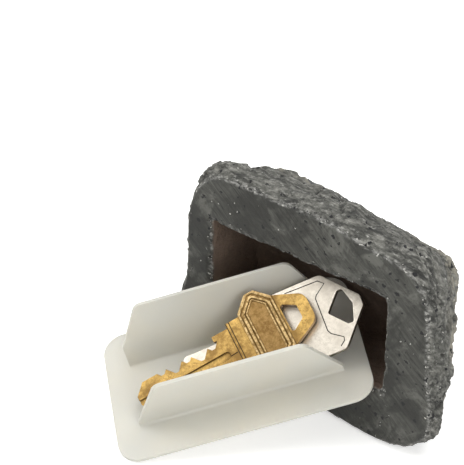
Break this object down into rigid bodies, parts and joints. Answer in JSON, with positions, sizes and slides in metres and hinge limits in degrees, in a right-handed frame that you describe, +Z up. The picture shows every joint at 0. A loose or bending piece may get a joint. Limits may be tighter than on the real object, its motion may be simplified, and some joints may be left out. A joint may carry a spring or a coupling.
{
  "type": "hide a key rock",
  "caption": "Imitation stone with a drafted pocket in its flat base, a sprung plate tray that closes the pocket, and house keys lying in the tray.",
  "frame": {"origin": "middle of the flat facet that the rock stands on, on its long side with its mouth open to the front", "axes": "+X along the mouth to the right, +Y into the rock square to its flat base, +Z up"},
  "size_m": [0.0954, 0.0984, 0.0668],
  "materials": {
    "cast_stone": "stone-filled polyester resin, cast rough, base sanded flat",
    "tray_plastic": "moulded translucent polypropylene, natural",
    "nickel_plate": "nickel plated, tumbled",
    "key_brass": "brass, worn"
  },
  "bodies": {
    "rock": {"rock": "cast_stone"},
    "tray": {"tray": "tray_plastic"},
    "nickel_key": {"nickel_key": "nickel_plate"},
    "brass_key": {"brass_key": "key_brass"}
  },
  "joints": [
    {"name": "tray_slide", "type": "slide", "parent": "rock", "child": "tray", "axis": [-0.7011, -0.7131, 0], "range_m": [0, 0.045]},
    {"name": "nickel_key_lift", "type": "slide", "parent": "tray", "child": "nickel_key", "axis": [-0.5555, -0.763, 0.3304], "range_m": [0, 0.05]},
    {"name": "brass_key_lift", "type": "slide", "parent": "nickel_key", "child": "brass_key", "axis": [-0.4359, -0.7079, 0.5558], "range_m": [0, 0.05]}
  ]
}
